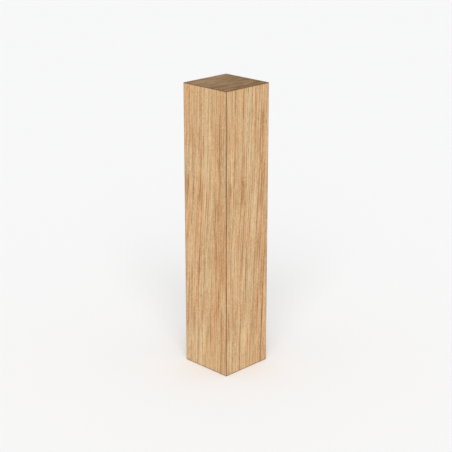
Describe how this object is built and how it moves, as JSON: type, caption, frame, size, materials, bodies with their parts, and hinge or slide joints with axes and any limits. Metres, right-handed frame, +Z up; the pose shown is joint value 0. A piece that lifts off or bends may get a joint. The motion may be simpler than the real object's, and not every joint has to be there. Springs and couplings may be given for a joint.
{
  "type": "oak bollard",
  "caption": "Square post of solid oak with a flat top and eased edges, standing upright on its flat foot to mark a path or keep vehicles off a verge.",
  "frame": {"origin": "centre of the underside of the post, on the surface that it stands on", "axes": "+Z up along the post and its grain, X and Y square to its four sides"},
  "size_m": [0.2, 0.2, 1],
  "materials": {
    "oak": "matte"
  },
  "bodies": {
    "root": {"oak_post": "oak"}
  },
  "joints": []
}
